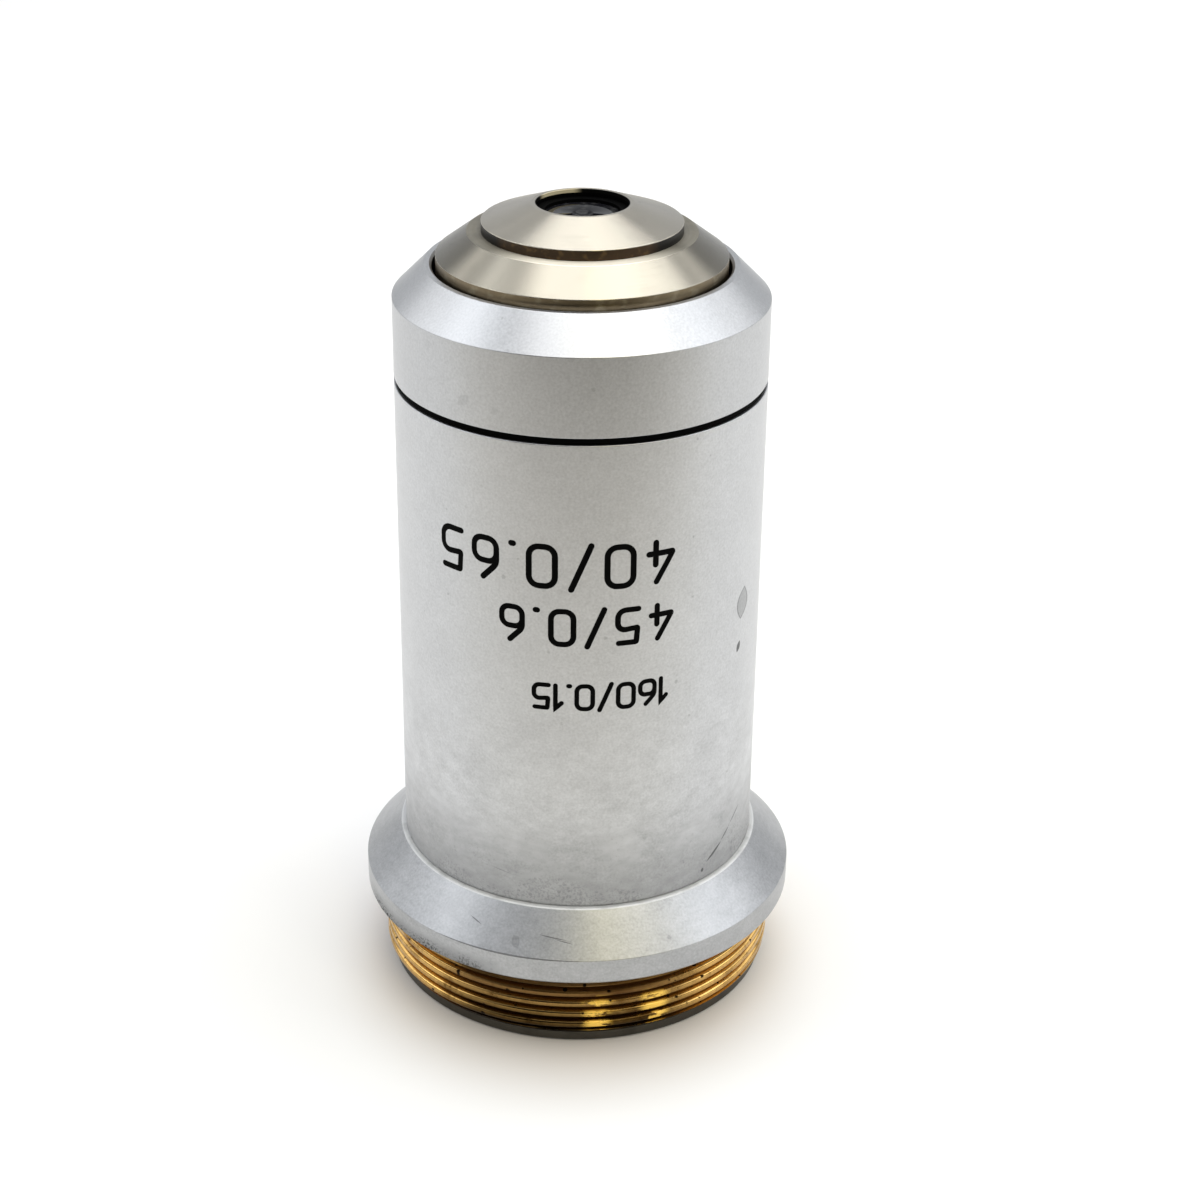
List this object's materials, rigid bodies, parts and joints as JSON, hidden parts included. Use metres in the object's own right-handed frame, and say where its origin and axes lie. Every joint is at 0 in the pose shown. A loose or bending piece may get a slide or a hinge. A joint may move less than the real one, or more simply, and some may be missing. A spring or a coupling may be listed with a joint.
{
  "type": "microscope objective",
  "caption": "Spring-loaded high-dry microscope objective with a brass mounting thread, satin chrome sleeve and cap, and a polished conical nose with a small front lens.",
  "frame": {"origin": "centre of the foot of the mounting thread, on the surface that the objective stands on", "axes": "+Z along the optical axis from the thread to the nose; -Y towards the side that carries the marking"},
  "size_m": [0.0272, 0.0272, 0.05],
  "materials": {
    "mount_brass": "bare tarnished brass on the thread, satin chrome on the flange",
    "satin_chrome": "matt satin chrome on brass",
    "polished_nickel": "polished, warm",
    "black_finish": "matt black",
    "black_brass": "blackened brass",
    "spring_steel": "bright",
    "screw_steel": "bright",
    "front_glass": "coated, faint purple",
    "lens_glass": "coated"
  },
  "bodies": {
    "body": {"thread_mount": "mount_brass", "outer_sleeve": "satin_chrome", "code_ring": "black_finish", "front_cap": "satin_chrome", "rear_baffle": "black_finish", "return_spring": "spring_steel", "guide_screw": "screw_steel"},
    "nose": {"lens_barrel": "black_brass", "stop_ring": "black_brass", "lock_ring": "black_brass", "centring_screws": "screw_steel", "nose_shell": "polished_nickel", "front_cell": "polished_nickel", "front_lens": "front_glass", "second_cell": "black_brass", "second_lens": "lens_glass", "doublet_cell": "black_brass", "doublet_flint": "lens_glass", "doublet_crown": "lens_glass", "aperture_stop": "black_finish", "spacer_tube": "black_brass", "rear_cell": "black_brass", "rear_crown": "lens_glass", "rear_flint": "lens_glass", "retaining_ring": "black_finish"}
  },
  "joints": [
    {"name": "nose_slide", "type": "slide", "parent": "body", "child": "nose", "axis": [0, 0, -1], "range_m": [0, 0.002], "stiffness_N_per_m": 600, "springref_m": -0.004, "deforming": ["return_spring"]}
  ]
}
